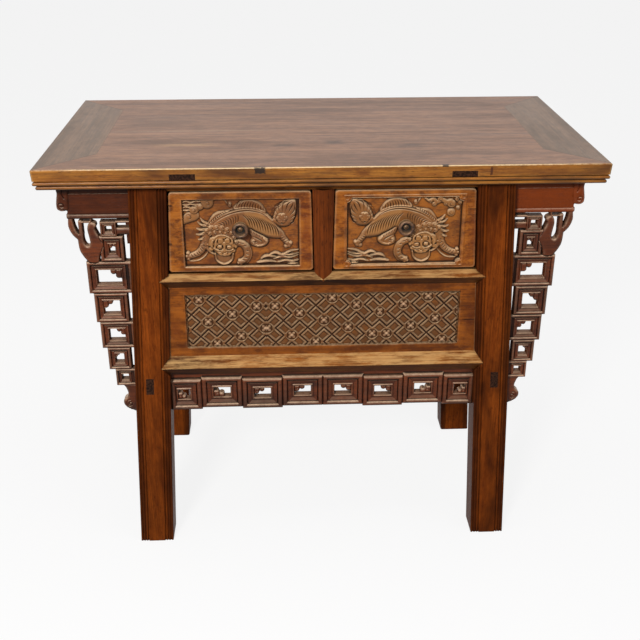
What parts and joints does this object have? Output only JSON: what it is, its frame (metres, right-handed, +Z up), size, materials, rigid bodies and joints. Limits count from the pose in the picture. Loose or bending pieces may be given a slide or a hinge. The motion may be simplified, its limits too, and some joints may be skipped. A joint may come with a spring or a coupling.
{
  "type": "altar coffer table",
  "caption": "East Asian altar coffer table with splayed legs, carved sliding drawers, a fixed key-fret panel over a hidden chamber, an openwork apron and spandrels.",
  "frame": {"origin": "on the floor, under the middle of the table", "axes": "+X to the table's right seen from the front, along its length; -Y to the front, the way the drawers open; +Z up"},
  "size_m": [1.07, 0.56, 0.87],
  "materials": {
    "top_wood": "satin, worn lacquer",
    "frame_wood": "satin lacquer",
    "panel_wood": "satin lacquer",
    "carved_wood": "dark satin lacquer",
    "inner_wood": "unfinished, aged",
    "bronze": "dark patina"
  },
  "bodies": {
    "frame": {"apron": "carved_wood", "back_panel_lower": "frame_wood", "back_panel_upper": "frame_wood", "bottom_rail_back": "frame_wood", "bottom_rail_front": "frame_wood", "centre_stile": "frame_wood", "chamber_floor": "inner_wood", "chamber_front_panel": "panel_wood", "drawer_guide_centre": "inner_wood", "drawer_guide_left": "inner_wood", "drawer_guide_right": "inner_wood", "drawer_runner_centre": "inner_wood", "drawer_runner_left": "inner_wood", "drawer_runner_right": "inner_wood", "leg_back_left": "frame_wood", "leg_back_right": "frame_wood", "leg_front_left": "frame_wood", "leg_front_right": "frame_wood", "lower_side_rail_left": "frame_wood", "lower_side_rail_right": "frame_wood", "middle_rail_back": "frame_wood", "middle_rail_front": "frame_wood", "side_panel_left": "frame_wood", "side_panel_right": "frame_wood", "spandrel_back_left": "carved_wood", "spandrel_back_right": "carved_wood", "spandrel_front_left": "carved_wood", "spandrel_front_right": "carved_wood", "top_batten_left": "inner_wood", "top_batten_right": "inner_wood", "top_boards": "top_wood", "top_frame_back": "top_wood", "top_frame_front": "top_wood", "top_frame_left": "top_wood", "top_frame_right": "top_wood", "upper_rail_back": "frame_wood", "upper_rail_front": "frame_wood", "upper_side_rail_left": "frame_wood", "upper_side_rail_right": "frame_wood", "wing_back_left": "carved_wood", "wing_back_right": "carved_wood", "wing_front_left": "carved_wood", "wing_front_right": "carved_wood"},
    "drawer_left": {"drawer_left_back": "inner_wood", "drawer_left_bottom": "inner_wood", "drawer_left_front": "panel_wood", "drawer_left_pull": "bronze", "drawer_left_pull_pin": "bronze", "drawer_left_pull_plate": "bronze", "drawer_left_sides": "inner_wood"},
    "drawer_right": {"drawer_right_back": "inner_wood", "drawer_right_bottom": "inner_wood", "drawer_right_front": "panel_wood", "drawer_right_pull": "bronze", "drawer_right_pull_pin": "bronze", "drawer_right_pull_plate": "bronze", "drawer_right_sides": "inner_wood"}
  },
  "joints": [
    {"name": "drawer_left_slide", "type": "slide", "parent": "frame", "child": "drawer_left", "axis": [0, -1, 0], "range_m": [0, 0.33]},
    {"name": "drawer_right_slide", "type": "slide", "parent": "frame", "child": "drawer_right", "axis": [0, -1, 0], "range_m": [0, 0.33]}
  ]
}
